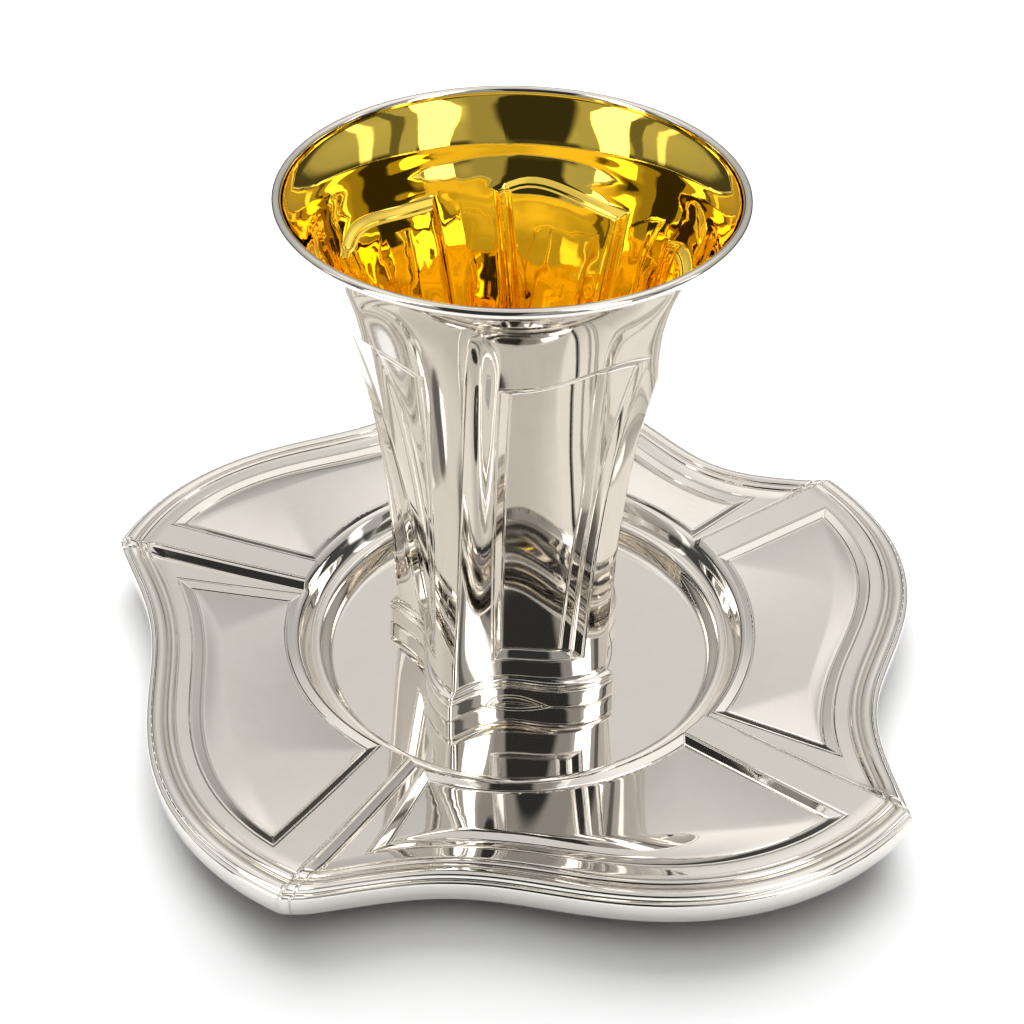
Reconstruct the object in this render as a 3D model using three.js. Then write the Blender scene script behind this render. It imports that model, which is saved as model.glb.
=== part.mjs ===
// A kiddush cup standing on its matching saucer, both raised from polished silver sheet.
// Both are built in five ogee-sided sectors: each side starts at a sharp ridge, dips,
// and swells out again to the next ridge. They are hand-raised, so no two sides are quite alike.
// Millimetres, +Z up. The origin is on the table, in the middle of the saucer's well.
import * as THREE from 'three';

// ---- Driving dimensions ----
const SHEET = 1.0;                      // thickness of the silver

// cup: ridge bearings in degrees, the last one being the first one again
const CUP_AT = [-2.3, 0.5];             // where the cup stands in the well
const FOOT_RIDGES = [165, 243.8, 325, 389.5, 457.5, 525];
const RIM_RIDGES = [182.6, 261.4, 330, 400, 472, 542.6];
const RIDGE_CURVE = 1.35;               // the ridges lean over more towards the rim
const CUP_HEIGHT = 102.9;               // underside to the middle of the rim wire
const RIM_RADIUS = 39.1;                // axis to the middle of the rim wire
const WIRE_RADIUS = 0.9;
const BODY_RADIUS = 23.6;               // ridges at the bottom of the wall
const FLARE = 14.8;                     // how far the wall flares out
const FLARE_POWER = 3.1;
const LIP_FLARE = 1.2;                  // last flick under the rim
const LIP_POWER = 25;
const BODY_HOLLOW = 7.6;                // how far a side dips behind its ridges
const ROUND_TO = 98;                    // the dip has faded out at this height
const ROUNDING = 1.6;
const VALLEY = 0.6;                     // groove between a ridge and the frame to its right
const VALLEY_START = [10, 40];          // the groove grows between these heights
const VALLEY_END = [84, 99];            // and fades out between these
const INNER_VALLEY_END = [50, 78];
const NECK = 0.5;                       // extra thickness inside, under the rim, between these heights
const NECK_SPAN = [91.5, 102.5];
const FOOT_RADIUS = 25.4;
const FOOT_HOLLOW = 8.3;
const FOOT_WALL = 4.2;                  // height of the foot's upright band
const FOOT_TOP = 6.7;                   // top of the moulding over it
const FOOT_STEP = 1.3;                  // moulding's reach past the wall
const FOOT_RECESS = 1.5;                // depth of the hollow under the foot
const CUP_FLOOR = FOOT_RECESS + SHEET;  // inside floor, over the underside

// cup panels: shares of the side's width, from its first ridge
const PANEL_LEFT = [0.205, 0.115];      // at the foot and at the rim
const PANEL_RIGHT = 0.825;
const FIELD_RIGHT = 0.80;               // the flat field's right edge, before it leans back
const FIELD_LEANS = [0.2, 0.2, 0.1, 0, 0];
const PANEL_BOTTOM = 12;                // height above the underside
const PANEL_TOP = 85.4;
const PANEL_WAVE = 2.2;                 // the top edge humps by this much
const TOP_LEAN = 0.05;                  // the top edges rise towards the back
const PANEL_BEVEL = 1.9;                // width of the frame's bevels
const PANEL_SINK = 0.8;
const FIELD_SINK = 0.7;
const HAIR = 0.3;                       // least distance between two edges

// saucer
const PAN_RIDGES = [168.4, 243.4, 320.5, 391.3, 459.9, 528.4];
const EDGE_RIDGES = [167.5, 241.5, 321.3, 391.6, 461.8, 527.5];
const CORNER_RADII = [85.8, 83.9, 88.1, 81, 83.4, 85.8];
const SIDE_HOLLOWS = [12.5, 15.6, 14.7, 15.5, 11.6];
const SIDE_SWELLS = [0.8, 0, 2.7, 0.9, 0.3];
const EDGE_RADIUS = 84;                 // typical radius of the edge
const WELL_RADIUS = 38.1;               // flat floor of the well
const PAN_RADIUS = 45;                  // where the broad pan starts
const PAN_HEIGHT = 8.8;                 // top face there, just past a ridge
const PAN_SLOPE = 0.078;
const PAN_SWIRL = 1.8;                  // rise of the pan from one ridge to the next
const RIDGE_BEVEL = 1.5;                // width of the step down behind a ridge
const SAUCER_SINK = 0.8;
const SAUCER_BEVEL = 2.2;
const FRAME_INSET = 8.1;                // edge to the panel frame
const FRAME_START = [3.0, 0.142];       // ridge to frame: mm at PAN_RADIUS, and mm per mm outwards
const FRAME_END = [6.2, 0.032];
const PAN_CROWN = 0.6;
const SKIRT = 4.0;                      // height of the turned-down edge
const LIP_DROP = 1.3;                   // the edge lies this much below the pan's line

const SILVER = { color: 0xd9d5cd, roughness: 0.06, metalness: 1 };

// ---- Shape functions ----
const clamp01 = (x) => Math.min(1, Math.max(0, x));
const mix = (a, b, t) => a + (b - a) * t;
const ease = (a, b, x) => {
  const t = clamp01((x - a) / (b - a));
  return t * t * (3 - 2 * t);
};
const toRadians = THREE.MathUtils.degToRad;
const toDegrees = THREE.MathUtils.radToDeg;
const degreesFor = (length, radius) => toDegrees(length / radius);

// An ogee: 0 at a ridge, 1 at the bottom of the dip, 0 at the next ridge.
const ogee = (u, skew, power) => Math.max(0, Math.sin(Math.PI * clamp01(u) ** skew)) ** power;
const cupDip = (u) => ogee(u, 0.62, 1.3);

// Bearing and width of a side, with ridges that lean from one set of bearings to another.
function side(from, to, share, sector) {
  const start = mix(from[sector], to[sector], share);
  const end = mix(from[sector + 1], to[sector + 1], share);
  return { start, width: end - start };
}

// A ring of points round the axis. "place" gives [bearing, radius, height] for a sector and a column.
function ring(sectors, columns, place) {
  const points = [];
  for (let sector = 0; sector < sectors; sector += 1) {
    for (let column = 0; column < columns; column += 1) {
      const [bearing, radius, height] = place(sector, column);
      const angle = toRadians(bearing);
      points.push([radius * Math.cos(angle), radius * Math.sin(angle), height]);
    }
  }
  return points;
}

// One closed skin from rings of equal length, closed by a fan at each end.
function closedSkin(rings, firstHeight, lastHeight) {
  const count = rings[0].length;
  const positions = [[0, 0, firstHeight], ...rings.flat(), [0, 0, lastHeight]];
  const last = positions.length - 1;
  const at = (row, column) => 1 + row * count + (column % count);
  const faces = [];
  for (let column = 0; column < count; column += 1) {
    faces.push(0, at(0, column + 1), at(0, column));
    faces.push(last, at(rings.length - 1, column), at(rings.length - 1, column + 1));
    for (let row = 0; row < rings.length - 1; row += 1) {
      faces.push(at(row, column), at(row, column + 1), at(row + 1, column + 1));
      faces.push(at(row, column), at(row + 1, column + 1), at(row + 1, column));
    }
  }
  const geometry = new THREE.BufferGeometry();
  geometry.setAttribute('position', new THREE.Float32BufferAttribute(positions.flat(), 3));
  geometry.setIndex(faces);
  geometry.computeVertexNormals();
  return geometry;
}

// ---- Cup ----
const SECTORS = FOOT_RIDGES.length - 1;
const lean = (z) => clamp01(z / CUP_HEIGHT) ** RIDGE_CURVE;
const cupSide = (sector, z) => side(FOOT_RIDGES, RIM_RIDGES, lean(z), sector);
const panelLeft = (z) => mix(PANEL_LEFT[0], PANEL_LEFT[1], lean(z));

// Radius of the cup's ridges at a height, without the dips between them.
function ridgeRadius(z) {
  const t = clamp01(z / CUP_HEIGHT);
  return BODY_RADIUS + FLARE * t ** FLARE_POWER + LIP_FLARE * t ** LIP_POWER;
}

// Height of a panel's humped top edge.
function panelTop(sector, share) {
  const { start, width } = cupSide(sector, PANEL_TOP);
  const left = panelLeft(PANEL_TOP);
  const across = clamp01((share - left) / (PANEL_RIGHT - left));
  const rise = TOP_LEAN * ridgeRadius(PANEL_TOP) * Math.sin(toRadians(start + width * share));
  return PANEL_TOP + PANEL_WAVE * ogee(across, 2, 1.2) + rise;
}

// Share of a side's width that a length takes up at a height.
const shareOf = (length, sector, z) => degreesFor(length, ridgeRadius(z)) / cupSide(sector, z).width;

function fieldRight(sector, z) {
  const leaned = FIELD_RIGHT - FIELD_LEANS[sector] * clamp01(z / PANEL_TOP) ** 3;
  return Math.min(leaned, PANEL_RIGHT - shareOf(PANEL_BEVEL + HAIR, sector, z));
}

// How far the sheet is sunk at a share of a side's width and a height.
function sink(sector, share, z) {
  const length = ridgeRadius(z) * toRadians(cupSide(sector, z).width);
  const left = (share - panelLeft(z)) * length;
  const right = (PANEL_RIGHT - share) * length;
  const fieldSide = (fieldRight(sector, z) - share) * length;
  const ends = Math.min(left, z - PANEL_BOTTOM, panelTop(sector, share) - z);
  const border = clamp01(Math.min(ends, right) / PANEL_BEVEL);
  const field = clamp01(Math.min(ends, fieldSide) / PANEL_BEVEL);
  return PANEL_SINK * border + FIELD_SINK * field;
}

function cupRadius(sector, share, z, valleyEnd = VALLEY_END) {
  const hollow = BODY_HOLLOW * clamp01(1 - z / ROUND_TO) ** ROUNDING;
  const valley = VALLEY * ease(...VALLEY_START, z) * (1 - ease(...valleyEnd, z));
  return ridgeRadius(z) - hollow * cupDip(share) - valley * ogee(share / panelLeft(z), 0.7, 1.5)
    - sink(sector, share, z);
}

// Thickness of the cup's sheet at a height.
function sheetAt(z) {
  const up = clamp01((z - NECK_SPAN[0]) / (NECK_SPAN[1] - NECK_SPAN[0]));
  return SHEET + NECK * Math.sin(Math.PI * up) ** 2;
}

const footRadius = (share) => FOOT_RADIUS - FOOT_HOLLOW * cupDip(share);

// The cup's columns at a height, as shares of a side's width.
function cupShares(sector, z) {
  const bevel = shareOf(PANEL_BEVEL, sector, z);
  const left = panelLeft(z);
  const fieldStart = left + bevel;
  const fieldEnd = fieldRight(sector, z) - bevel;
  return [
    0,
    left * 0.18,
    left * 0.5,
    left,
    fieldStart,
    mix(fieldStart, fieldEnd, 1 / 3),
    mix(fieldStart, fieldEnd, 2 / 3),
    fieldEnd,
    fieldRight(sector, z),
    PANEL_RIGHT - bevel,
    PANEL_RIGHT,
    mix(PANEL_RIGHT, 1, 0.6),
  ];
}
const CUP_COLUMNS = cupShares(0, 0).length;

// "place" gives [radius, height] for a sector and a share of its width.
function cupRing(level, place) {
  return ring(SECTORS, CUP_COLUMNS, (sector, column) => {
    const share = cupShares(sector, level)[column];
    const { start, width } = cupSide(sector, level);
    return [start + width * share, ...place(sector, share)];
  });
}

function cupGeometry() {
  const footRing = (inset, height) => cupRing(0, (sector, share) => [footRadius(share) - inset, height]);
  const outerAt = (sector, share, z) => [cupRadius(sector, share, z), z];
  const innerAt = (sector, share, z) => [cupRadius(sector, share, z, INNER_VALLEY_END) - sheetAt(z), z];
  const levelRing = (z, at) => cupRing(z, (sector, share) => at(sector, share, z));
  const topRing = (drop, at) => cupRing(PANEL_TOP - drop, (sector, share) => (
    at(sector, share, panelTop(sector, share) - drop)
  ));
  const wireRing = (turn) => cupRing(CUP_HEIGHT, () => [
    RIM_RADIUS + WIRE_RADIUS * Math.cos(toRadians(turn)),
    CUP_HEIGHT + WIRE_RADIUS * Math.sin(toRadians(turn)),
  ]);
  const lowRows = [PANEL_BOTTOM, PANEL_BOTTOM + PANEL_BEVEL, 24, 36, 48, 60, 71];
  const highRows = [91.5, 94, 96.5, 98.8, 101];
  const foot = [
    footRing(2.6, FOOT_RECESS),
    footRing(2.2, 0),
    footRing(0, 0),
    footRing(0, FOOT_WALL),
    footRing(0.6, FOOT_WALL + 0.2),
    footRing(0.3, FOOT_WALL + 1.4),
    footRing(FOOT_STEP, FOOT_TOP),
  ];
  const outside = [
    levelRing(FOOT_TOP + 0.5, outerAt),
    ...lowRows.map((z) => levelRing(z, outerAt)),
    topRing(PANEL_BEVEL, outerAt),
    topRing(0, outerAt),
    ...highRows.map((z) => levelRing(z, outerAt)),
  ];
  const wire = [-60, 0, 60, 120, 180].map(wireRing);
  const inside = [
    ...highRows.map((z) => levelRing(z, innerAt)).reverse(),
    topRing(0, innerAt),
    topRing(PANEL_BEVEL, innerAt),
    ...lowRows.map((z) => levelRing(z, innerAt)).reverse(),
    levelRing(CUP_FLOOR, innerAt),
  ];
  return closedSkin([...foot, ...outside, ...wire, ...inside], FOOT_RECESS, CUP_FLOOR);
}

// ---- Saucer ----
// Radius of the saucer's edge on a side.
function edgeRadius(sector, u) {
  const corners = mix(CORNER_RADII[sector], CORNER_RADII[sector + 1], u);
  return corners - SIDE_HOLLOWS[sector] * ogee(u, 0.57, 2) + SIDE_SWELLS[sector] * ogee(u, 1.28, 2);
}

// The edge's lean lengthens an inset measured along the radius.
function insetRadius(sector, u, inset) {
  const reach = 0.03;
  const from = clamp01(u - reach);
  const to = clamp01(u + reach);
  const width = PAN_RIDGES[sector + 1] - PAN_RIDGES[sector];
  const run = toRadians(width) * (to - from) * edgeRadius(sector, u);
  const slope = (edgeRadius(sector, to) - edgeRadius(sector, from)) / run;
  return edgeRadius(sector, u) - inset * Math.hypot(1, slope);
}

const saucerSide = (sector, radius) =>
  side(PAN_RIDGES, EDGE_RIDGES, clamp01((radius - PAN_RADIUS) / (EDGE_RADIUS - PAN_RADIUS)), sector);

// The saucer's columns at a radius, as shares of a side's width.
const FIELD_COLUMNS = 7;
const FIELD_FIRST = 3;
const SAUCER_COLUMNS = FIELD_FIRST + FIELD_COLUMNS + 2;
function saucerShare(sector, column, radius) {
  const held = Math.max(radius, PAN_RADIUS);
  const width = saucerSide(sector, held).width;
  const shareFor = (length) => degreesFor(length, held) / width;
  const start = FRAME_START[0] + FRAME_START[1] * (held - PAN_RADIUS);
  const end = FRAME_END[0] + FRAME_END[1] * (held - PAN_RADIUS);
  const fieldStart = shareFor(start + SAUCER_BEVEL);
  const fieldEnd = 1 - shareFor(end + SAUCER_BEVEL);
  const edges = [0, shareFor(RIDGE_BEVEL), shareFor(start), fieldStart];
  if (column <= FIELD_FIRST) return edges[column];
  const step = column - FIELD_FIRST;
  return step <= FIELD_COLUMNS ? mix(fieldStart, fieldEnd, step / FIELD_COLUMNS) : 1 - shareFor(end);
}

// Height of the pan's top face: it climbs outwards and from ridge to ridge.
function panHeight(column, share, radius) {
  const rise = column === 0 ? 1 : share;
  return PAN_HEIGHT + PAN_SLOPE * (radius - PAN_RADIUS) + PAN_SWIRL * rise;
}

function wellRing(radius, height) {
  return ring(SECTORS, SAUCER_COLUMNS, (sector, column) => {
    const { start, width } = saucerSide(sector, radius);
    return [start + width * saucerShare(sector, column, radius), radius, height];
  });
}

// A ring at an inset from the edge, or part of the way from the pan's start to it.
function panRing(inset, lift, part = 1) {
  return ring(SECTORS, SAUCER_COLUMNS, (sector, column) => {
    let radius = EDGE_RADIUS - inset;
    for (let turn = 0; turn < 4; turn += 1) {
      const u = saucerShare(sector, column, radius);
      radius = mix(PAN_RADIUS, insetRadius(sector, u, inset), part);
    }
    const share = saucerShare(sector, column, radius);
    const { start, width } = saucerSide(sector, radius);
    return [start + width * share, radius, panHeight(column, share, radius) + lift(column)];
  });
}

const inField = (column) => column >= FIELD_FIRST && column <= FIELD_FIRST + FIELD_COLUMNS;
const flat = (amount) => () => amount;
const sunk = (amount) => (column) => (inField(column) ? amount - SAUCER_SINK : amount);
const crowned = (amount) => (column) => (inField(column) ? amount - SAUCER_SINK + PAN_CROWN : amount);

function saucerGeometry() {
  const fieldInset = FRAME_INSET + SAUCER_BEVEL;
  const fieldPart = SAUCER_BEVEL / (EDGE_RADIUS - PAN_RADIUS - fieldInset);
  const top = [
    wellRing(WELL_RADIUS, SHEET),
    wellRing(39.6, 4.6),
    wellRing(40.2, 5.3),
    wellRing(40.9, 5.6),
    wellRing(41.7, 5.1),
    wellRing(42.3, 5.3),
    wellRing(43.4, 7.0),
    panRing(0, flat(0), 0),
    panRing(fieldInset, sunk(0), fieldPart),
    panRing(fieldInset, crowned(0), 0.4),
    panRing(fieldInset, crowned(0), 0.7),
    panRing(fieldInset, sunk(0)),
    panRing(FRAME_INSET, flat(0)),
    panRing(5.3, flat(0)),
    panRing(4.6, flat(0.35)),
    panRing(3.2, flat(-0.45)),
    panRing(1.7, flat(0.1)),
    panRing(0.9, flat(-0.5)),
    panRing(0, flat(-LIP_DROP)),
  ];
  const under = [
    panRing(0, flat(-LIP_DROP - SKIRT)),
    panRing(SHEET, flat(-LIP_DROP - SKIRT)),
    panRing(SHEET + 0.2, flat(-LIP_DROP - SHEET)),
    panRing(2.2, flat(-0.3 - SHEET)),
    panRing(FRAME_INSET, flat(-SHEET)),
    panRing(fieldInset, sunk(-SHEET)),
    panRing(fieldInset, crowned(-SHEET), 0.55),
    panRing(fieldInset, sunk(-SHEET), fieldPart),
    panRing(0, flat(-SHEET), 0),
    wellRing(43.6, 4.6),
    wellRing(41.0, 4.0),
    wellRing(WELL_RADIUS + 0.8, 0),
  ];
  return closedSkin([...top, ...under].reverse(), 0, SHEET);
}

// ---- Pieces ----
function piece(name, geometry, position) {
  const mesh = new THREE.Mesh(geometry, new THREE.MeshStandardMaterial(SILVER));
  mesh.name = name;
  mesh.position.set(...position);
  return mesh;
}

const set = new THREE.Group();
set.add(piece('saucer', saucerGeometry(), [0, 0, 0]));
set.add(piece('cup', cupGeometry(), [...CUP_AT, SHEET]));

export default set;
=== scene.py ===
"""Looks of the kiddush cup and its saucer: polished silver, gilt inside, on a pale floor."""

import math

import bpy
import numpy as np
from mathutils import Matrix, Vector


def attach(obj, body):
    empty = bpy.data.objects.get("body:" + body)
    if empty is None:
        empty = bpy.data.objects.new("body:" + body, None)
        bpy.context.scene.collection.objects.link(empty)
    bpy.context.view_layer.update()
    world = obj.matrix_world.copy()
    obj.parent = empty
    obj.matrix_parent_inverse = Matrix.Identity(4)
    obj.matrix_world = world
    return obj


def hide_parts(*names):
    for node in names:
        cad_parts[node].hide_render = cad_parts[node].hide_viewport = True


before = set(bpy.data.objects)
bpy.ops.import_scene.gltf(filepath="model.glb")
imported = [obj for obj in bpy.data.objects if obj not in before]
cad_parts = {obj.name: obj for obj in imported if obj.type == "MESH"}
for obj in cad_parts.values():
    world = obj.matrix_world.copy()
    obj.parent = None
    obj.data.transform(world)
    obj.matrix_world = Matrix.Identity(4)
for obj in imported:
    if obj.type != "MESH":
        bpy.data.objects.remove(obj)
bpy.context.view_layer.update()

MM = 0.001

# ---------------------------------------------------------------- dimensions, millimetres
SHEET = 1.0

CUP_AT = (-2.3, 0.5)
FOOT_RIDGES = (165, 243.8, 325, 389.5, 457.5, 525)
RIM_RIDGES = (182.6, 261.4, 330, 400, 472, 542.6)
RIDGE_CURVE = 1.35
CUP_HEIGHT = 102.9
RIM_RADIUS = 39.1
WIRE_RADIUS = 0.9
BODY_RADIUS = 23.6
FLARE = 14.8
FLARE_POWER = 3.1
LIP_FLARE = 1.2
LIP_POWER = 25
NECK = 0.5
NECK_SPAN = (91.5, 102.5)
BODY_HOLLOW = 7.6
DIP_SHAPE = (0.62, 1.3)        # skew and power of the dip between two ridges
ROUND_TO = 98                 # the dip has faded out at this height
ROUNDING = 1.6
FOOT_RADIUS = 25.4
FOOT_HOLLOW = 8.3
FOOT_RECESS = 1.5
CUP_FLOOR = FOOT_RECESS + SHEET
WALL_FROM = 7.1               # the wall starts over the foot's moulding
WALL_TO = 102.0               # and ends under the rim wire
WIRE_TURN = (-62, 190, 16)    # the wire's section in degrees, and its points

PANEL_LEFT = (0.205, 0.115)
PANEL_RIGHT = 0.825
FIELD_RIGHT = 0.80
FIELD_LEANS = (0.2, 0.2, 0.1, 0.0, 0.0)
PANEL_BOTTOM = 12
PANEL_TOP = 85.4
PANEL_WAVE = 2.2
TOP_LEAN = 0.05
PANEL_BEVEL = 1.9
PANEL_SINK = 0.8
FIELD_SINK = 0.7
HAIR = 0.3
ROUNDED = 0.16                # share of a bevel's width that its edges are rounded over
TOPS_FOLLOWED = (40, 80)      # the rows take up the panel tops' wave between these heights
TOPS_LEFT = (88, 101)         # and give it up between these
INNER_BEVEL = 1.0
VALLEY = 0.6
VALLEY_START = (10, 40)
VALLEY_SHAPE = (0.7, 1.5)
VALLEY_FADE = (84, 99)
INNER_VALLEY_FADE = (50, 78)
INNER_ROUNDING = 0.42

PAN_RIDGES = (168.4, 243.4, 320.5, 391.3, 459.9, 528.4)
EDGE_RIDGES = (167.5, 241.5, 321.3, 391.6, 461.8, 527.5)
CORNER_RADII = (85.8, 83.9, 88.1, 81.0, 83.4, 85.8)
SIDE_HOLLOWS = (12.5, 15.6, 14.7, 15.5, 11.6)
SIDE_SWELLS = (0.8, 0.0, 2.7, 0.9, 0.3)
SIDE_HOLLOW_SHAPE = (0.57, 2)
SIDE_SWELL_SHAPE = (1.28, 2)
SLOPE_REACH = 0.03            # the edge's lean is taken over this share of a side, each way
EDGE_RADIUS = 84
WELL_RADIUS = 38.1
PAN_RADIUS = 45
PAN_HEIGHT = 8.8
PAN_SLOPE = 0.078
PAN_SWIRL = 1.8
EDGE_SWIRL = 0.7
SWIRL_FROM = 2.0              # the swirl changes between this inset and the frame's
RIDGE_BEVEL = 1.5
RIDGE_SPREAD = 2.2            # the step behind a ridge is this much wider at the edge
SAUCER_SINK = 0.8
SAUCER_BEVEL = 2.0
FRAME_INSET = 8.1
FRAME_START = (3.0, 0.142)
FRAME_END = (6.2, 0.032)
PAN_CROWN = 1.0
CROWN_RUN = 18                # the crown is full this far inside the frame
CROWN_POWER = 1.7
PAN_WIDTH = 28.0              # typical width of a panel, for spacing its rings

SECTORS = 5
FAR = 50.0                    # value of a mark where it does not apply


# ---------------------------------------------------------------- small functions
def clamp01(x):
    return np.clip(x, 0, 1)


def mix(a, b, t):
    return a + (b - a) * t


def ease(a, b, x):
    t = clamp01((x - a) / (b - a))
    return t * t * (3 - 2 * t)


def ogee(u, skew, power):
    return np.maximum(0, np.sin(np.pi * clamp01(u) ** skew)) ** power


def bent(x, radius):
    """0 below zero and x above it, with a small rounding between."""
    return np.where(x > radius, x, np.where(x < -radius, 0, (x + radius) ** 2 / (4 * radius)))


def bevel(distance, width, rounding=ROUNDED):
    """A bevel from 0 to 1 over its width, with softened edges."""
    t = distance / width
    return bent(t, rounding) - bent(t - 1, rounding)


def pick(values, sector):
    return np.asarray(values, float)[sector]


def side(start, end, share, sector):
    low = mix(pick(start, sector), pick(end, sector), share)
    high = mix(pick(start, sector + 1), pick(end, sector + 1), share)
    return low, high - low


def spread(*runs):
    """Positions from runs of (from, to, count), each run leaving out its end."""
    parts = [np.linspace(a, b, n, endpoint=False) for a, b, n in runs]
    return np.concatenate(parts + [[runs[-1][1]]])


# ---------------------------------------------------------------- cup surface
def lean(z):
    return clamp01(z / CUP_HEIGHT) ** RIDGE_CURVE


def cup_side(sector, z):
    return side(FOOT_RIDGES, RIM_RIDGES, lean(z), sector)


def panel_left(z):
    return mix(PANEL_LEFT[0], PANEL_LEFT[1], lean(z))


def ridge_radius(z):
    t = clamp01(z / CUP_HEIGHT)
    return BODY_RADIUS + FLARE * t ** FLARE_POWER + LIP_FLARE * t ** LIP_POWER


def panel_top(sector, share):
    start, width = cup_side(sector, PANEL_TOP)
    left = panel_left(PANEL_TOP)
    across = clamp01((share - left) / (PANEL_RIGHT - left))
    rise = TOP_LEAN * ridge_radius(PANEL_TOP) * np.sin(np.radians(start + width * share))
    return PANEL_TOP + PANEL_WAVE * ogee(across, 2, 1.2) + rise


def share_of(length, sector, z):
    return np.degrees(length / ridge_radius(z)) / cup_side(sector, z)[1]


def field_right(sector, z):
    leaned = FIELD_RIGHT - pick(FIELD_LEANS, sector) * clamp01(z / PANEL_TOP) ** 3
    return np.minimum(leaned, PANEL_RIGHT - share_of(PANEL_BEVEL + HAIR, sector, z))


def frame_depths(sector, share, z):
    """How far a point lies inside the panel's border and inside its field."""
    length = ridge_radius(z) * np.radians(cup_side(sector, z)[1])
    left = (share - panel_left(z)) * length
    right = (PANEL_RIGHT - share) * length
    field_side = (field_right(sector, z) - share) * length
    ends = np.minimum(np.minimum(left, z - PANEL_BOTTOM), panel_top(sector, share) - z)
    return np.minimum(ends, right), np.minimum(ends, field_side)


def sink(sector, share, z, width, rounding):
    border, field = frame_depths(sector, share, z)
    return PANEL_SINK * bevel(border, width, rounding) + FIELD_SINK * bevel(field, width, rounding)


def cup_radius(sector, share, z, width=PANEL_BEVEL, rounding=ROUNDED, fade=VALLEY_FADE):
    hollow = BODY_HOLLOW * clamp01(1 - z / ROUND_TO) ** ROUNDING
    grown = (1 - ease(*fade, z)) * ease(*VALLEY_START, z)
    valley = VALLEY * grown * ogee(share / panel_left(z), *VALLEY_SHAPE)
    dip = hollow * ogee(share, *DIP_SHAPE)
    return ridge_radius(z) - dip - valley - sink(sector, share, z, width, rounding)


def sheet_at(z):
    """Thickness of the cup's sheet at a height."""
    up = clamp01((z - NECK_SPAN[0]) / (NECK_SPAN[1] - NECK_SPAN[0]))
    return SHEET + NECK * np.sin(np.pi * up) ** 2


def foot_radius(share):
    return FOOT_RADIUS - FOOT_HOLLOW * ogee(share, *DIP_SHAPE)


# ---------------------------------------------------------------- meshes
def skin(name, rings, first, last, marks):
    """A closed mesh from rings of points, closed by a fan at each end.

    Marks name the values that follow x, y and z.
    """
    rings = np.asarray(rings)
    rows, count, _ = rings.shape
    flat = rings.reshape(rows * count, -1)
    points = np.concatenate([[first], flat[:, :3], [last]]) * MM
    row = np.arange(rows - 1)[:, None]
    column = np.arange(count)[None, :]
    after = (column + 1) % count
    quads = np.stack([
        1 + row * count + column,
        1 + row * count + after,
        1 + (row + 1) * count + after,
        1 + (row + 1) * count + column,
    ], axis=-1).reshape(-1, 4)
    end = len(points) - 1
    tail = 1 + (rows - 1) * count
    ring_columns = np.arange(count)
    ring_after = (ring_columns + 1) % count
    fans = [(0, 1 + b, 1 + a) for a, b in zip(ring_columns, ring_after)]
    fans += [(end, tail + a, tail + b) for a, b in zip(ring_columns, ring_after)]
    mesh = bpy.data.meshes.new(name)
    mesh.from_pydata(points.tolist(), [], quads.tolist() + fans)
    mesh.polygons.foreach_set("use_smooth", np.ones(len(mesh.polygons), bool))
    mesh.update()
    for number, mark in enumerate(marks):
        values = np.concatenate([[FAR], flat[:, 3 + number], [FAR]])
        layer = mesh.attributes.new(mark, "FLOAT", "POINT")
        layer.data.foreach_set("value", values.astype(np.float32))
    obj = bpy.data.objects.new(name, mesh)
    bpy.context.collection.objects.link(obj)
    return obj, rows, count


def place(bearing, radius, height, *marks):
    values = np.broadcast_arrays(np.radians(bearing), radius, height, *marks)
    angle, radius, height = values[:3]
    return np.stack([radius * np.cos(angle), radius * np.sin(angle), height, *values[3:]], axis=-1)


def between(knots, counts):
    """Shares from one knot to the next, each stretch cut evenly."""
    parts = [a[..., None] + (b - a)[..., None] * np.linspace(0, 1, n, endpoint=False)
             for a, b, n in zip(knots[:-1], knots[1:], counts)]
    return np.concatenate(parts, axis=-1)


CUP_RUNS = (5, 4, 4, 5, 4, 5, 14, 5, 4, 4, 3, 4, 4, 4, 5, 4)


def cup_columns(sector, z, bevel_width):
    """Shares of the side's width, close together round the ridges and the frame's bevels."""
    width = share_of(bevel_width, sector, z)
    hair = share_of(HAIR, sector, z)
    left = panel_left(z) + 0 * width
    right = field_right(sector, z)
    edge = 0.25 * width
    inner = np.maximum(right + 0.6 * hair, PANEL_RIGHT - width - edge)
    knots = [0 * width, 0.04 + 0 * width, left * 0.5, left - edge, left + edge, left + width - edge,
             left + width + edge, right - width - edge, right - width + edge, right - edge,
             right + 0.5 * hair, inner, PANEL_RIGHT - width + edge, PANEL_RIGHT - edge, PANEL_RIGHT + edge,
             0.96 + 0 * width, 1 + 0 * width]
    return between(knots, CUP_RUNS)


def cup_ring(level, shape_of, bevel_width=PANEL_BEVEL):
    """One ring round the cup. shape_of gives (radius, height) for sectors and shares."""
    sectors = np.arange(SECTORS)
    shares = cup_columns(sectors, np.full(SECTORS, float(level)), bevel_width)
    grid = np.repeat(sectors[:, None], shares.shape[-1], axis=1)
    radius, height = shape_of(grid, shares)
    start, width = cup_side(grid, height)
    border, field = frame_depths(grid, shares, height)
    on_wall = (height > PANEL_BOTTOM - 3) & (height < PANEL_TOP + 8)
    marks = [np.where(on_wall, mark, -FAR) for mark in (border, field)]
    points = place(start + width * shares, radius, height, *marks)
    return points.reshape(-1, points.shape[-1])


def arc(centre, radius, start, end, steps):
    """(inset, height) points on an arc. Inset counts towards the axis, so 0 degrees points outwards."""
    turns = np.radians(np.linspace(start, end, steps))
    return [(centre[0] - radius * math.cos(t), centre[1] + radius * math.sin(t)) for t in turns]


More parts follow.
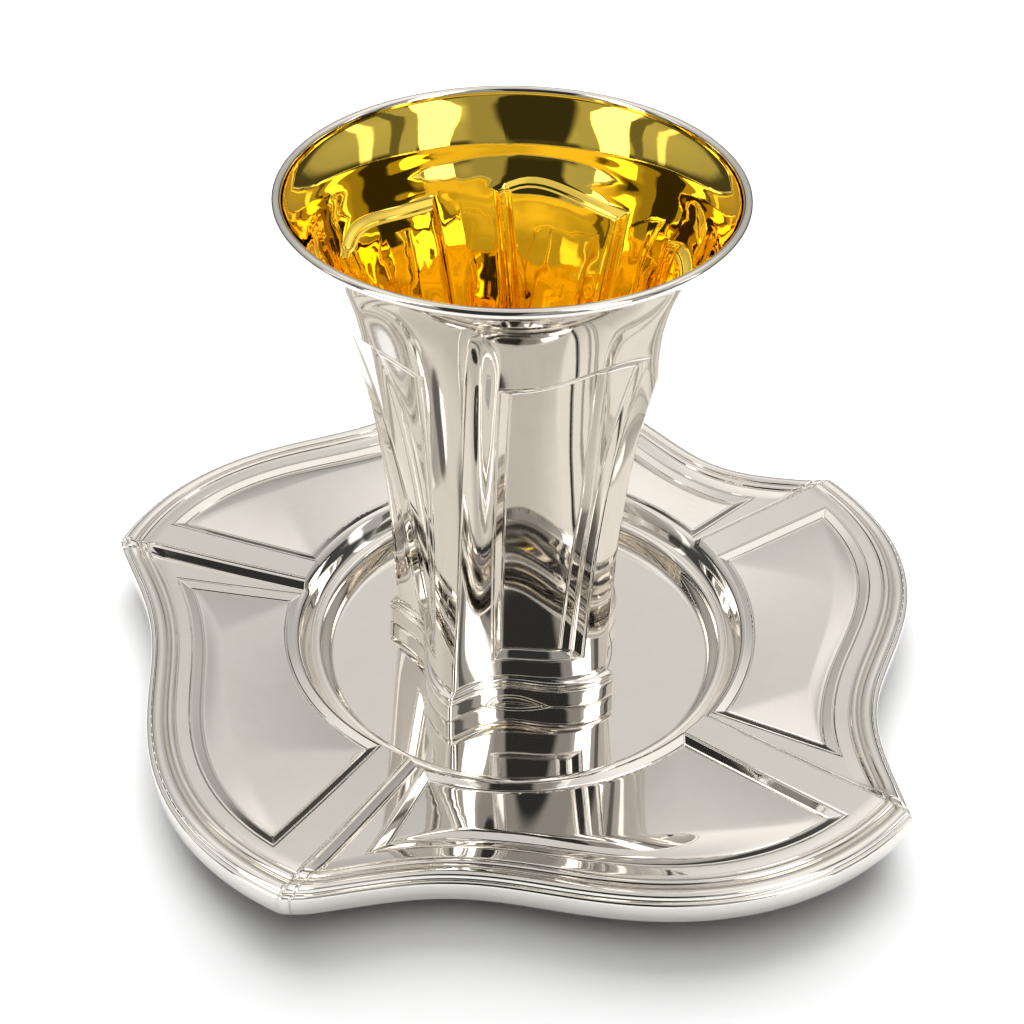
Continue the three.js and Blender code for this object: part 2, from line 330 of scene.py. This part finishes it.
# (inset, height) from under the foot to the top of its moulding
FOOT_PROFILE = (
    [(6.0, FOOT_RECESS), (2.6, FOOT_RECESS), (2.45, 1.2), (2.3, 0.15), (2.1, 0.0), (0.35, 0.0)]
    + arc((0.35, 0.35), 0.35, -60, 0, 4)
    + [(0.0, 1.2), (0.0, 2.4), (0.0, 3.4)]
    + arc((0.3, 3.95), 0.3, 0, 70, 5)
    + [(0.55, 4.3), (0.72, 4.36)]
    + arc((1.05, 5.25), 0.85, -58, 75, 12)
    + [(1.0, 6.12), (1.25, 6.2), (1.5, 6.4), (1.75, 6.75)]
)


# (inset, height) from the wall down to the floor inside
FLOOR_PROFILE = ((1.05, 5.0), (1.35, 3.6), (2.1, 2.8), (3.4, CUP_FLOOR), (6.0, CUP_FLOOR))


def cup_rings():
    """Rings from under the foot, up the wall, over the rim and down inside, and where the gilt starts."""
    rings = [cup_ring(0, lambda s, u, i=i, h=h: (foot_radius(u) - i, h + 0 * u))
             for i, h in FOOT_PROFILE]

    def height_at(s, u, level):
        follow = np.minimum(ease(*TOPS_FOLLOWED, level), 1 - ease(*TOPS_LEFT, level))
        return level + (panel_top(s, u) - PANEL_TOP) * follow

    def outer(level):
        def shape_of(s, u):
            z = height_at(s, u, level)
            return cup_radius(s, u, z), z
        return cup_ring(level, shape_of)

    def inner(level):
        def shape_of(s, u):
            z = height_at(s, u, level)
            radius = cup_radius(s, u, z, INNER_BEVEL, INNER_ROUNDING, INNER_VALLEY_FADE)
            return radius - sheet_at(z), z
        return cup_ring(level, shape_of, INNER_BEVEL)

    def levels(width, counts):
        edge = 0.4 * width
        low, high = PANEL_BOTTOM, PANEL_TOP - width
        knots = (WALL_FROM, low - edge, low + edge, low + width - edge, low + width + edge,
                 high - edge, high + edge, PANEL_TOP - edge, PANEL_TOP + edge, WALL_TO)
        return spread(*zip(knots[:-1], knots[1:], counts))

    outside = levels(PANEL_BEVEL, (9, 6, 4, 6, 44, 6, 4, 6, 20))
    inside = levels(INNER_BEVEL, (5, 4, 2, 4, 28, 6, 4, 6, 16))
    rings += [outer(z) for z in outside]
    for turn in np.linspace(*WIRE_TURN):
        angle = math.radians(turn)
        rings.append(cup_ring(CUP_HEIGHT, lambda s, u, a=angle: (
            RIM_RADIUS + WIRE_RADIUS * math.cos(a) + 0 * u,
            CUP_HEIGHT + WIRE_RADIUS * math.sin(a) + 0 * u)))
    gilt = len(rings) - 1
    rings += [inner(z) for z in inside[::-1]]
    for inset, height in FLOOR_PROFILE:
        rings.append(cup_ring(0, lambda s, u, i=inset, h=height: (cup_radius(s, u, 7.0) - i, h + 0 * u)))
    return rings, gilt


def build_cup():
    rings, gilt = cup_rings()
    obj, rows, count = skin("cup_body", rings, (0, 0, FOOT_RECESS), (0, 0, CUP_FLOOR),
                            ("border", "field"))
    where = np.repeat(np.arange(rows - 1), count)
    index = np.concatenate([(where >= gilt).astype(int), np.zeros(count, int), np.ones(count, int)])
    obj.data.materials.append(silver_cup)
    obj.data.materials.append(gold)
    obj.data.polygons.foreach_set("material_index", index.astype(np.int32))
    obj.data.transform(Matrix.Translation((CUP_AT[0] * MM, CUP_AT[1] * MM, SHEET * MM)))
    return obj


# ---------------------------------------------------------------- saucer surface
def edge_radius(sector, u):
    corners = mix(pick(CORNER_RADII, sector), pick(CORNER_RADII, sector + 1), u)
    hollow = pick(SIDE_HOLLOWS, sector) * ogee(u, *SIDE_HOLLOW_SHAPE)
    return corners - hollow + pick(SIDE_SWELLS, sector) * ogee(u, *SIDE_SWELL_SHAPE)


def inset_radius(sector, u, inset):
    low = clamp01(u - SLOPE_REACH)
    high = clamp01(u + SLOPE_REACH)
    width = pick(PAN_RIDGES, sector + 1) - pick(PAN_RIDGES, sector)
    run = np.radians(width) * (high - low) * edge_radius(sector, u)
    slope = (edge_radius(sector, high) - edge_radius(sector, low)) / run
    return edge_radius(sector, u) - inset * np.hypot(1, slope)


def saucer_side(sector, radius):
    share = clamp01((radius - PAN_RADIUS) / (EDGE_RADIUS - PAN_RADIUS))
    return side(PAN_RIDGES, EDGE_RIDGES, share, sector)


def frame_shares(sector, radius):
    """Shares of a side's width where the panel's frame starts and ends, and a millimetre's share."""
    held = np.maximum(radius, PAN_RADIUS)
    width = saucer_side(sector, held)[1]
    per_mm = np.degrees(1 / held) / width
    start = (FRAME_START[0] + FRAME_START[1] * (held - PAN_RADIUS)) * per_mm
    end = 1 - (FRAME_END[0] + FRAME_END[1] * (held - PAN_RADIUS)) * per_mm
    return start, end, per_mm


SAUCER_RUNS = (6, 3, 3, 5, 4, 5, 34, 5, 4, 5, 8, 4)


def saucer_shares(sector, radius):
    start, end, per_mm = frame_shares(sector, radius)
    edge = 0.25 * SAUCER_BEVEL * per_mm
    wide = SAUCER_BEVEL * per_mm
    knots = [0 * start, RIDGE_BEVEL * 1.25 * per_mm, mix(RIDGE_BEVEL * 1.25 * per_mm, start, 0.5),
             start - edge, start + edge, start + wide - edge, start + wide + edge,
             end - wide - edge, end - wide + edge, end - edge, end + edge,
             1 - 0.4 * per_mm, 1 + 0 * start]
    return between(knots, SAUCER_RUNS)


def panel_depth(sector, share, radius, from_edge):
    """How far a point lies inside the frame of its panel."""
    start, end, per_mm = frame_shares(sector, radius)
    return np.minimum(np.minimum((share - start) / per_mm, (end - share) / per_mm),
                      np.minimum(from_edge - FRAME_INSET, radius - PAN_RADIUS))


def past_ridge(sector, share, radius):
    per_mm = frame_shares(sector, radius)[2]
    return np.minimum(share / per_mm, 5 * (1 - share) / per_mm)


def pan_height(sector, share, radius, from_edge):
    """Top face of the pan and border."""
    per_mm = frame_shares(sector, radius)[2]
    inward = ease(SWIRL_FROM, FRAME_INSET, from_edge)
    step = 1 - bevel(share / per_mm - 0.05, RIDGE_BEVEL * mix(RIDGE_SPREAD, 1, inward), 0.2)
    rise = mix(share, 1, step)
    swirl = mix(EDGE_SWIRL, PAN_SWIRL, inward)
    climb = PAN_SLOPE * (radius - PAN_RADIUS)
    height = PAN_HEIGHT + climb + swirl * rise + 0.5 * (PAN_SWIRL - swirl)
    inside = panel_depth(sector, share, radius, from_edge)
    depth = bevel(inside, SAUCER_BEVEL)
    crown = PAN_CROWN * (1 - clamp01(1 - (inside - SAUCER_BEVEL) / CROWN_RUN) ** CROWN_POWER)
    return height - SAUCER_SINK * depth + crown


# (radius, height) from the flat of the well up over its bead to the pan
WELL_PROFILE = (
    [(WELL_RADIUS - 0.4, 1.0), (WELL_RADIUS, 1.04), (WELL_RADIUS + 0.35, 1.3), (38.9, 2.2), (39.4, 3.6)]
    + [(39.7, 4.5), (39.95, 5.0)]
    + [(40.9 - 0.85 * math.cos(t), 4.95 + 0.65 * math.sin(t)) for t in np.radians(np.linspace(20, 165, 12))]
    + [(41.85, 4.98), (42.1, 5.05), (42.4, 5.35), (42.8, 6.0), (43.3, 6.9), (43.8, 7.8), (44.3, 8.45)]
)


def saucer_ring(radius_of, height_of):
    """One ring round the saucer: radius_of(sector, share) and height_of(sector, share, radius)."""
    sectors = np.arange(SECTORS)
    radius = np.full((SECTORS, sum(SAUCER_RUNS)), float(EDGE_RADIUS))
    grid = np.repeat(sectors[:, None], radius.shape[1], axis=1)
    columns = np.arange(radius.shape[1])
    for _ in range(5):
        shares = saucer_shares(grid, radius)[:, columns, columns]
        radius = radius_of(grid, shares)
    start, width = saucer_side(grid, radius)
    height, from_edge = height_of(grid, shares, radius)
    depth = np.where(from_edge < FAR, panel_depth(grid, shares, radius, from_edge), -FAR)
    ridge = np.where(from_edge < FAR, past_ridge(grid, shares, radius), FAR)
    points = place(start + width * shares, radius, height, depth, ridge, from_edge)
    return points.reshape(-1, points.shape[-1])


# (inset, lift) over the border's mouldings, round the turned-down edge and back underneath
BORDER_TOP = (
    [(i, 0.0) for i in np.linspace(FRAME_INSET - 0.8, 5.5, 4)]
    + [(5.2, 0.06), (4.95, 0.2), (4.7, 0.33), (4.4, 0.37), (4.1, 0.24), (3.85, 0.02), (3.68, -0.16),
       (3.55, -0.24)]
    + [(3.42, -0.2), (3.2, 0.0), (2.9, 0.18), (2.5, 0.3), (2.1, 0.33), (1.7, 0.24), (1.3, 0.02), (1.0, -0.28),
       (0.8, -0.6)]
)
LIP = [(0.72, -0.75), (0.6, -0.82), (0.42, -0.84), (0.2, -0.98), (0.06, -1.2), (0.0, -1.5), (0.0, -3.2),
       (0.02, -4.9), (0.1, -5.15), (0.3, -5.3), (0.7, -5.3), (0.95, -5.1)]
UNDER = [(1.02, -4.6), (1.1, -2.6), (1.35, -1.75), (1.9, -1.35), (3.0, -1.1), (5.0, -1.0), (7.0, -1.0),
         (FRAME_INSET + 1, -1.0)]
# (radius, height) from under the pan down to the well's underside
UNDER_WELL = ((44.4, 6.6), (43.8, 5.4), (43.0, 4.3), (42.0, 3.9), (41.0, 3.8), (40.4, 3.0),
              (39.9, 1.6), (39.3, 0.35), (38.9, 0.0), (38.4, 0.0))
UNSEEN = 0.001                # a drop that only marks a ring as underneath


def saucer_rings():
    """Rings from the well out over the pan and its edge, and back underneath."""
    rings = []

    def well(radius, height):
        rings.append(saucer_ring(
            lambda s, u: radius + 0 * u,
            lambda s, u, r: (height + 0 * u, FAR + 0 * u)))

    def border(inset, lift, drop=0.0):
        rings.append(saucer_ring(
            lambda s, u: inset_radius(s, u, inset),
            lambda s, u, r: (pan_height(s, u, r, inset + 0 * r) + lift - drop,
                             inset + FAR * (drop > 0) + 0 * r)))

    def pan(part, drop=0.0):
        inner = FRAME_INSET + SAUCER_BEVEL + 0.25 * SAUCER_BEVEL
        rings.append(saucer_ring(
            lambda s, u: mix(PAN_RADIUS + 0.0, inset_radius(s, u, inner), part),
            lambda s, u, r: (pan_height(s, u, r, mix(inner, EDGE_RADIUS, 1 - part) + 0 * r) - drop,
                             mix(inner, 0.99 * FAR, 1 - part) + FAR * (drop > 0) + 0 * r)))

    for radius, height in WELL_PROFILE:
        well(radius, height)
    bevel_part = SAUCER_BEVEL / PAN_WIDTH
    parts = spread((0, bevel_part * 0.25, 3), (bevel_part * 0.25, bevel_part * 0.75, 4),
                   (bevel_part * 0.75, bevel_part * 1.25, 5), (bevel_part * 1.25, 1, 40))
    for part in parts:
        pan(part)
    for inset in spread((FRAME_INSET + SAUCER_BEVEL * 1.2, FRAME_INSET + SAUCER_BEVEL * 0.75, 5),
                        (FRAME_INSET + SAUCER_BEVEL * 0.75, FRAME_INSET + SAUCER_BEVEL * 0.25, 4),
                        (FRAME_INSET + SAUCER_BEVEL * 0.25, FRAME_INSET - SAUCER_BEVEL * 0.2, 5)):
        border(inset, 0)
    for inset, lift in BORDER_TOP:
        border(inset, lift)
    for inset, lift in LIP:
        border(inset, lift)
    for inset, lift in UNDER:
        border(inset, lift + UNSEEN, UNSEEN)
    for part in np.linspace(1, 0, 12):
        pan(part, SHEET)
    for radius, height in UNDER_WELL:
        well(radius, height)
    return rings


def build_saucer():
    rings = saucer_rings()
    obj, *_ = skin("saucer_body", rings[::-1], (0, 0, 0), (0, 0, SHEET),
                   ("panel", "ridge", "edge"))
    obj.data.materials.append(silver_saucer)
    return obj


# ---------------------------------------------------------------- materials
def nodes_of(material):
    material.use_nodes = True
    tree = material.node_tree
    tree.nodes.clear()
    return tree


def add(tree, kind, **values):
    node = tree.nodes.new(kind)
    for key, value in values.items():
        if key in node.inputs:
            node.inputs[key].default_value = value
        else:
            setattr(node, key, value)
    return node


def dot(tree, vector, axis):
    node = add(tree, "ShaderNodeVectorMath", operation="DOT_PRODUCT")
    tree.links.new(vector, node.inputs[0])
    node.inputs[1].default_value = axis
    return node.outputs["Value"]


def math_node(tree, operation, *values):
    node = add(tree, "ShaderNodeMath", operation=operation)
    for socket, value in zip(node.inputs, values):
        if isinstance(value, (int, float)):
            socket.default_value = value
        else:
            tree.links.new(value, socket)
    return node.outputs["Value"]


def fade(tree, value, full, none):
    """1 at full, falling smoothly to 0 at none."""
    node = add(tree, "ShaderNodeMapRange", interpolation_type="SMOOTHSTEP")
    node.inputs["From Min"].default_value = none
    node.inputs["From Max"].default_value = full
    tree.links.new(value, node.inputs["Value"])
    return node.outputs["Result"]


def chased_lines(tree, lines, width):
    """Height of fine grooves where a mark of the mesh has the given values, in millimetres."""
    total = None
    for mark, places in lines:
        value = add(tree, "ShaderNodeAttribute", attribute_name=mark).outputs["Fac"]
        for place_at in places:
            away = math_node(tree, "ABSOLUTE", math_node(tree, "SUBTRACT", value, place_at))
            groove = fade(tree, away, 0.0, width)
            total = groove if total is None else math_node(tree, "MAXIMUM", total, groove)
    return total


def polished(name, colour, dark, roughness, ripple, grain, lines, ripple_top=1.0):
    """A hand-polished metal: faint hammering, wiping marks and the fine grooves of chased lines.

    The hammering dies away towards the height ripple_top, in metres.
    """
    material = bpy.data.materials.new(name)
    tree = nodes_of(material)
    link = tree.links.new
    where = add(tree, "ShaderNodeTexCoord")
    broad = add(tree, "ShaderNodeTexNoise", Scale=grain, Detail=1.0, Roughness=0.35)
    link(where.outputs["Object"], broad.inputs["Vector"])
    fine = add(tree, "ShaderNodeTexNoise", Scale=900.0, Detail=3.0, Roughness=0.55)
    link(where.outputs["Object"], fine.inputs["Vector"])
    marks = add(tree, "ShaderNodeTexNoise", Scale=140.0, Detail=6.0, Roughness=0.7)
    link(where.outputs["Object"], marks.inputs["Vector"])
    tone = add(tree, "ShaderNodeMix", data_type="RGBA")
    tone.inputs["A"].default_value = (*colour, 1)
    tone.inputs["B"].default_value = (*dark, 1)
    spread_tone = add(tree, "ShaderNodeMapRange")
    spread_tone.inputs["From Min"].default_value = 0.45
    spread_tone.inputs["From Max"].default_value = 0.8
    spread_tone.inputs["To Max"].default_value = 0.35
    link(marks.outputs["Fac"], spread_tone.inputs["Value"])
    link(spread_tone.outputs["Result"], tone.inputs["Factor"])
    gloss = add(tree, "ShaderNodeMapRange")
    gloss.inputs["To Min"].default_value = roughness * 0.6
    gloss.inputs["To Max"].default_value = roughness * 1.5
    link(marks.outputs["Fac"], gloss.inputs["Value"])
    bump = add(tree, "ShaderNodeBump", Strength=ripple, Distance=0.0006)
    height = dot(tree, where.outputs["Object"], (0, 0, 1))
    calm = fade(tree, height, ripple_top - RIPPLE_FADE * MM, ripple_top)
    link(math_node(tree, "MULTIPLY", broad.outputs["Fac"], calm), bump.inputs["Height"])
    second = add(tree, "ShaderNodeBump", Strength=0.02, Distance=0.00005)
    link(fine.outputs["Fac"], second.inputs["Height"])
    groove = chased_lines(tree, lines, LINE_WIDTH)
    third = add(tree, "ShaderNodeBump", Strength=1.0, Distance=LINE_DEPTH * MM, invert=True)
    link(groove, third.inputs["Height"])
    link(bump.outputs["Normal"], third.inputs["Normal"])
    link(third.outputs["Normal"], second.inputs["Normal"])
    shader = add(tree, "ShaderNodeBsdfPrincipled", Metallic=1.0)
    link(tone.outputs["Result"], shader.inputs["Base Color"])
    link(gloss.outputs["Result"], shader.inputs["Roughness"])
    link(second.outputs["Normal"], shader.inputs["Normal"])
    out = add(tree, "ShaderNodeOutputMaterial")
    link(shader.outputs["BSDF"], out.inputs["Surface"])
    return material


LINE_WIDTH = 0.36             # half width of a chased line, millimetres
LINE_DEPTH = 0.2
RIPPLE_FADE = 12
GILT_CALM = 95                # the gilt is smooth over this height
SILVER = (0.84, 0.81, 0.765)
SILVER_DARK = (0.74, 0.70, 0.64)
GILT = (0.97, 0.705, 0.115)
GILT_DARK = (0.92, 0.64, 0.08)
CUP_LINES = (("border", (0.0, PANEL_BEVEL)), ("field", (0.0, PANEL_BEVEL)))
SAUCER_LINES = (("panel", (0.0, SAUCER_BEVEL)), ("ridge", (0.15, RIDGE_BEVEL + 0.2)),
                ("edge", (0.85, 3.55, 5.3)))
GILT_LINES = (("border", (INNER_BEVEL,)),)

silver_cup = polished("silver_cup", SILVER, SILVER_DARK, 0.035, 0.06, 90.0, CUP_LINES)
silver_saucer = polished("silver_saucer", SILVER, SILVER_DARK, 0.035, 0.05, 60.0, SAUCER_LINES)
gold = polished("gilding", GILT, GILT_DARK, 0.03, 0.42, 150.0, GILT_LINES, GILT_CALM * MM)

cup = build_cup()
saucer = build_saucer()
for obj, node, slot in ((cup, "cup", "cup_silver"), (saucer, "saucer", "saucer_silver")):
    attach(obj, "root")
    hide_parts(node)


# ---------------------------------------------------------------- stage
def matte(name, colour, roughness=0.9):
    material = bpy.data.materials.new(name)
    tree = nodes_of(material)
    shader = add(tree, "ShaderNodeBsdfPrincipled", Roughness=roughness)
    shader.inputs["Base Color"].default_value = (*colour, 1)
    shader.inputs["Specular IOR Level"].default_value = 0.1
    out = add(tree, "ShaderNodeOutputMaterial")
    tree.links.new(shader.outputs["BSDF"], out.inputs["Surface"])
    return material


def sheet_object(name, corners, material):
    mesh = bpy.data.meshes.new(name)
    mesh.from_pydata(corners, [], [tuple(range(len(corners)))])
    mesh.materials.append(material)
    obj = bpy.data.objects.new(name, mesh)
    bpy.context.collection.objects.link(obj)
    return obj


FLOOR_REACH = 3
FLOOR_GREY = (0.86, 0.86, 0.86)
floor_corners = [(x * FLOOR_REACH, y * FLOOR_REACH, 0) for x, y in ((-1, -1), (1, -1), (1, 1), (-1, 1))]
sheet_object("floor", floor_corners, matte("floor", FLOOR_GREY))

WARM = (1.0, 0.975, 0.935)


def ramp(tree, height, stops):
    """Brightness against the sine of the elevation."""
    node = add(tree, "ShaderNodeValToRGB")
    node.color_ramp.interpolation = "EASE"
    elements = node.color_ramp.elements
    while len(elements) < len(stops):
        elements.new(0.5)
    for element, (position, value) in zip(elements, stops):
        element.position = position
        element.color = (*(value * w for w in WARM), 1)
    tree.links.new(height, node.inputs["Fac"])
    return node.outputs["Color"]


def patch(tree, direction, colour, bearing, elevation, width, height, soft, value):
    """A soft-edged panel of the studio. Bearing is from the front towards +X; all angles are in degrees."""
    around, above = math.radians(bearing), math.radians(elevation)
    level = math.cos(above)
    centre = Vector((math.sin(around) * level, -math.cos(around) * level, math.sin(above)))
    across = Vector((math.cos(around), math.sin(around), 0))
    along = across.cross(centre)
    depth = math_node(tree, "MAXIMUM", dot(tree, direction, centre), 0.001)
    mask = fade(tree, dot(tree, direction, centre), 0.3, 0.1)
    for axis, size in ((across, width), (along, height)):
        offset = math_node(tree, "ABSOLUTE", math_node(tree, "DIVIDE", dot(tree, direction, axis), depth))
        half = math.tan(math.radians(size / 2))
        mask = math_node(tree, "MULTIPLY", mask, fade(tree, offset, half * (1 - soft), half * (1 + soft)))
    node = add(tree, "ShaderNodeMix", data_type="RGBA")
    tree.links.new(mask, node.inputs["Factor"])
    tree.links.new(colour, node.inputs["A"])
    node.inputs["B"].default_value = (*(value * w for w in WARM), 1)
    return node.outputs["Result"]


# (sine of the elevation, brightness)
FRONT_WALL = ((0.0, 0.05), (0.15, 0.07), (0.24, 0.47), (0.62, 0.51), (0.80, 0.73), (1.0, 0.71))
BACK_WALL = ((0.0, 0.05), (0.15, 0.07), (0.26, 0.44), (0.50, 0.55), (0.68, 0.75), (0.84, 1.1),
             (1.0, 0.73))
# (bearing, elevation, width, height, softness of the edge, brightness)
PATCHES = (
    (85, 68, 80, 26, 0.5, 1.1),
    (-75, 66, 60, 22, 0.6, 0.95),
    (12, 35, 26, 60, 0.3, 0.34),
    (62, 30, 12, 50, 0.25, 0.46),
    (70, 30, 6, 50, 0.25, 0.14),
    (-74, 30, 7, 50, 0.25, 0.16),
    (-46, 32, 16, 50, 0.3, 0.45),
    (-90, 26, 5, 30, 0.3, 1.4),
    (45, 32, 19, 52, 0.08, 3.0),
    (-59, 30, 18, 50, 0.08, 3.0),
    (89, 22, 8, 24, 0.30, 1.8),
    (-14, 38, 36, 58, 0.14, 0.035),
)


def studio_world():
    """The room that the metal mirrors: grey walls, lighter behind, with windows and dark patches.

    It lights nothing by diffuse reflection: the floor has its own lamps.
    """
    world = bpy.data.worlds.new("studio")
    bpy.context.scene.world = world
    world.use_nodes = True
    world.cycles_visibility.diffuse = False
    tree = world.node_tree
    tree.nodes.clear()
    link = tree.links.new
    direction = add(tree, "ShaderNodeTexCoord").outputs["Generated"]
    height = dot(tree, direction, (0, 0, 1))
    front = ramp(tree, height, FRONT_WALL)
    back = ramp(tree, height, BACK_WALL)
    both = add(tree, "ShaderNodeMix", data_type="RGBA")
    link(fade(tree, dot(tree, direction, (0, 1, 0)), 0.6, -0.5), both.inputs["Factor"])
    link(front, both.inputs["A"])
    link(back, both.inputs["B"])
    colour = both.outputs["Result"]
    for row in PATCHES:
        colour = patch(tree, direction, colour, *row)
    background = add(tree, "ShaderNodeBackground", Strength=1.0)
    link(colour, background.inputs["Color"])
    out = add(tree, "ShaderNodeOutputWorld")
    link(background.outputs["Background"], out.inputs["Surface"])


def area_light(name, place_at, size, power):
    """A lamp turned to the part. It lights the floor, and the metal does not mirror it."""
    light = bpy.data.lights.new(name, "AREA")
    light.shape = "RECTANGLE"
    light.size, light.size_y = size
    light.energy = power
    obj = bpy.data.objects.new(name, light)
    bpy.context.collection.objects.link(obj)
    obj.location = place_at
    obj.rotation_euler = (-Vector(place_at)).to_track_quat("-Z", "Y").to_euler()
    obj.visible_glossy = False
    return obj


studio_world()
for lamp in (
    ("window_left", (-1.8, 2.2, 1.0), (2.8, 1.3), 22),
    ("window_right", (1.8, 2.2, 1.0), (2.8, 1.3), 20),
    ("key", (0.0, 1.85, 2.4), (4.5, 1.8), 150),
    ("overhead", (0.0, -0.4, 2.6), (3.0, 3.0), 48),
):
    area_light(*lamp)

# ---------------------------------------------------------------- camera
DISTANCE = 316.3938
ELEVATION = 0.672520
FOCAL_PIXELS = 1650.0
SIDEWAYS = -1.7824
AIM_HEIGHT = 35.839
ROLL = 0.010688
IMAGE_WIDTH = 1024
SENSOR = 36.0

camera_data = bpy.data.cameras.new("camera")
camera_data.sensor_width = SENSOR
camera_data.lens = FOCAL_PIXELS * SENSOR / IMAGE_WIDTH
camera_data.clip_start = 0.01
camera = bpy.data.objects.new("camera", camera_data)
bpy.context.collection.objects.link(camera)
back = DISTANCE * math.cos(ELEVATION)
up = DISTANCE * math.sin(ELEVATION)
turn = Matrix.Rotation(math.pi / 2 - ELEVATION, 4, "X") @ Matrix.Rotation(ROLL, 4, "Z")
camera.matrix_world = Matrix.Translation((SIDEWAYS * MM, -back * MM, (AIM_HEIGHT + up) * MM)) @ turn
bpy.context.scene.camera = camera

bpy.context.scene.view_settings.view_transform = "Standard"
